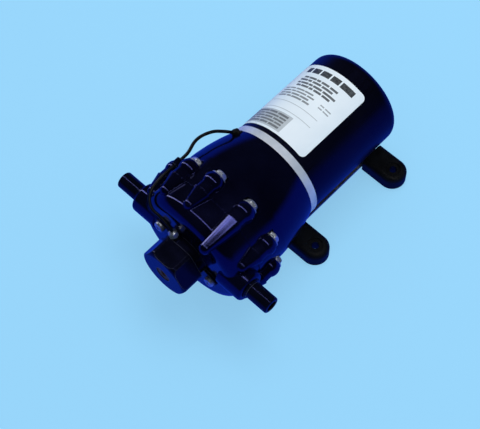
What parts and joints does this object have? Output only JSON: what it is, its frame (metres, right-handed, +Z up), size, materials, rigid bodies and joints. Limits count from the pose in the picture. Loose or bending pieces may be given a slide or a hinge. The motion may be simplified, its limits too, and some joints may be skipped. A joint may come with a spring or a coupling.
{
  "type": "caravan water pump",
  "caption": "Electric diaphragm water pump: motor can, bell drive housing, round pump head with side hose spigots and front pressure switch, on rubber feet.",
  "frame": {"origin": "centre of the four mounting holes, on the surface that the feet stand on", "axes": "+Z up, pump axis along Y with the motor towards +Y and the pump head towards -Y, +X to the outlet side"},
  "size_m": [0.14, 0.204, 0.1079],
  "materials": {
    "can_paint": "gloss",
    "label": "satin",
    "magnet": "matte",
    "end_plate": "satin",
    "card": "matte",
    "carbon": "matte",
    "steel": "satin",
    "copper": "satin",
    "housing": "satin",
    "cam_alloy": "cast",
    "pale_plastic": "satin",
    "rubber": "matte",
    "valve_rubber": "matte",
    "bright_steel": "polished",
    "black_plastic": "satin",
    "lead_pvc": "satin",
    "brass": "satin"
  },
  "bodies": {
    "pump": {"motor_can": "can_paint", "motor_label": "label", "motor_magnets": "magnet", "motor_end_plate": "end_plate", "brush_card": "card", "carbon_brushes": "carbon", "brush_springs": "steel", "motor_screws": "steel", "front_bearing_outer": "steel", "rear_bearing_outer": "steel", "drive_housing": "housing", "diaphragm": "rubber", "valve_plate": "pale_plastic", "inlet_valves": "valve_rubber", "outlet_valve": "valve_rubber", "outlet_seal": "rubber", "front_cover": "housing", "clamp_studs": "steel", "clamp_nuts": "bright_steel", "inlet_fitting": "black_plastic", "outlet_fitting": "black_plastic", "port_o_rings": "rubber", "switch_base": "black_plastic", "switch_diaphragm": "rubber", "switch_spring": "steel", "switch_cap": "black_plastic", "microswitch": "black_plastic", "switch_screws": "bright_steel", "switch_lead": "lead_pvc", "lead_glands": "rubber", "lead_clip": "black_plastic", "base_plate": "steel", "motor_saddles": "black_plastic", "base_screws": "steel", "foot_front_left": "rubber", "foot_front_right": "rubber", "foot_rear_left": "rubber", "foot_rear_right": "rubber"},
    "rotor": {"armature_shaft": "steel", "armature_core": "steel", "armature_windings": "copper", "commutator": "copper", "front_bearing_inner": "steel", "front_bearing_balls": "steel", "rear_bearing_inner": "steel", "rear_bearing_balls": "steel", "wobble_cam": "cam_alloy", "cam_set_screw": "steel", "wobble_bearing_inner": "steel", "wobble_bearing_balls": "steel"},
    "wobbler": {"wobble_plate": "pale_plastic", "wobble_bearing_outer": "steel", "pistons": "pale_plastic", "piston_screws": "steel"},
    "plunger": {"switch_plunger": "pale_plastic"},
    "adjuster": {"switch_adjuster": "brass"}
  },
  "joints": [
    {"name": "armature_spin", "type": "hinge", "parent": "pump", "child": "rotor", "pos_m": [0, -0.038, 0.055], "axis": [0, -1, 0], "continuous": true, "deforming": ["diaphragm"]},
    {"name": "wobble_nutation", "type": "hinge", "parent": "rotor", "child": "wobbler", "pos_m": [0, -0.1, 0.055], "axis": [0, -0.9976, -0.0698], "continuous": true, "deforming": ["diaphragm"]},
    {"name": "plunger_slide", "type": "slide", "parent": "pump", "child": "plunger", "axis": [0, -1, 0], "range_m": [0, 0.0012], "stiffness_N_per_m": 1500, "deforming": ["switch_spring"]},
    {"name": "adjuster_turn", "type": "hinge", "parent": "pump", "child": "adjuster", "pos_m": [0, -0.142, 0.055], "axis": [0, -1, 0], "range_deg": [-180, 180]}
  ],
  "couplings": [
    {"joint": "wobble_nutation", "follows": "armature_spin", "ratio": -1}
  ]
}
